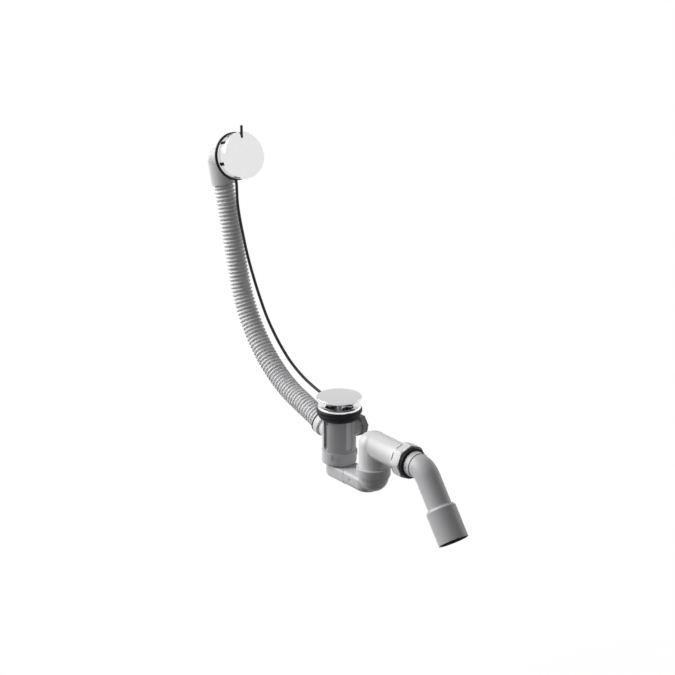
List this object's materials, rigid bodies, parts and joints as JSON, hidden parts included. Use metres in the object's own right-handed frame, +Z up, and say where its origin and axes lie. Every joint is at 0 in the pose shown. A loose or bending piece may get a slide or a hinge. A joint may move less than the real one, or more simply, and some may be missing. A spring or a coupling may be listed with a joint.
{
  "type": "bath waste and overflow",
  "caption": "Bath waste and overflow set with a turning chrome cover, corrugated hose, cable-lifted plug and low trap with a swivelling outlet.",
  "frame": {"origin": "centre of the waste hole, level with the bath floor under the flange's rim", "axes": "+Z up out of the bath floor; +X from the overflow towards the drain, along the trap at rest; +Y towards the lever housing and the cable"},
  "size_m": [0.6868, 0.082, 0.5704],
  "materials": {
    "chrome": "polished plating",
    "black_rubber": "matt rubber",
    "black_plastic": "semi-gloss",
    "dark_grey_plastic": "satin moulded",
    "light_grey_plastic": "satin moulded",
    "hose_plastic": "satin blown",
    "mid_grey_plastic": "satin extruded",
    "inner_plastic": "plain moulded",
    "steel": "plain stainless"
  },
  "bodies": {
    "waste": {"overflow_ring": "chrome", "overflow_screws": "steel", "overflow_gasket": "black_rubber", "overflow_elbow": "light_grey_plastic", "overflow_hose": "hose_plastic", "hose_top_seal": "black_rubber", "hose_washer": "black_rubber", "hose_collar": "light_grey_plastic", "hose_clip": "black_plastic", "cable_sheath": "black_plastic", "cable_wire": "steel", "cable_ferrules": "steel", "waste_flange": "chrome", "bath_gasket": "black_rubber", "body_gasket": "black_rubber", "waste_body": "dark_grey_plastic", "lever_seal": "black_rubber", "lever_cap": "dark_grey_plastic", "trap_nut": "light_grey_plastic", "trap_washer": "black_rubber"},
    "cover": {"overflow_cover": "chrome", "cover_pin": "black_plastic", "drive_spindle": "steel", "spindle_clip": "steel", "head_crank": "inner_plastic", "cover_grub_screw": "steel"},
    "plug": {"plug_cap": "chrome", "plug_seal": "black_rubber", "plug_retainer": "inner_plastic", "plug_stem": "inner_plastic", "height_screw": "steel", "height_nut": "steel"},
    "lever": {"lever_shaft": "steel", "lever_finger": "inner_plastic", "lever_crank": "inner_plastic"},
    "trap": {"trap_inlet": "light_grey_plastic", "trap_cup": "light_grey_plastic", "cup_seal": "black_rubber"},
    "riser": {"riser_elbow": "light_grey_plastic", "union_nut": "light_grey_plastic", "union_seal": "black_rubber"},
    "outlet": {"outlet_bend": "mid_grey_plastic", "drain_adapter": "mid_grey_plastic", "adapter_seal": "black_rubber"}
  },
  "joints": [
    {"name": "cover_turn", "type": "hinge", "parent": "waste", "child": "cover", "pos_m": [-0.2923, 0, 0.364], "axis": [0.9627, 0, 0.2706], "range_deg": [0, 70]},
    {"name": "plug_lift", "type": "slide", "parent": "waste", "child": "plug", "axis": [0, 0, 1], "range_m": [-0.012, 0]},
    {"name": "lever_rock", "type": "hinge", "parent": "waste", "child": "lever", "pos_m": [0.01039, 0, -0.0365], "axis": [0, 1, 0], "range_deg": [-60, 0]},
    {"name": "trap_swivel", "type": "hinge", "parent": "waste", "child": "trap", "pos_m": [0, 0, -0.09], "axis": [0, 0, 1], "range_deg": [-60, 60]},
    {"name": "riser_swivel", "type": "hinge", "parent": "trap", "child": "riser", "pos_m": [0.094, 0, -0.08], "axis": [0, 0, 1], "range_deg": [-90, 90]},
    {"name": "outlet_swivel", "type": "hinge", "parent": "riser", "child": "outlet", "pos_m": [0.185, 0, -0.036], "axis": [1, 0, 0], "range_deg": [-90, 90]}
  ],
  "couplings": [
    {"joint": "plug_lift", "follows": "cover_turn", "m_per_rad": -0.009822},
    {"joint": "lever_rock", "follows": "cover_turn", "ratio": -0.85714}
  ]
}
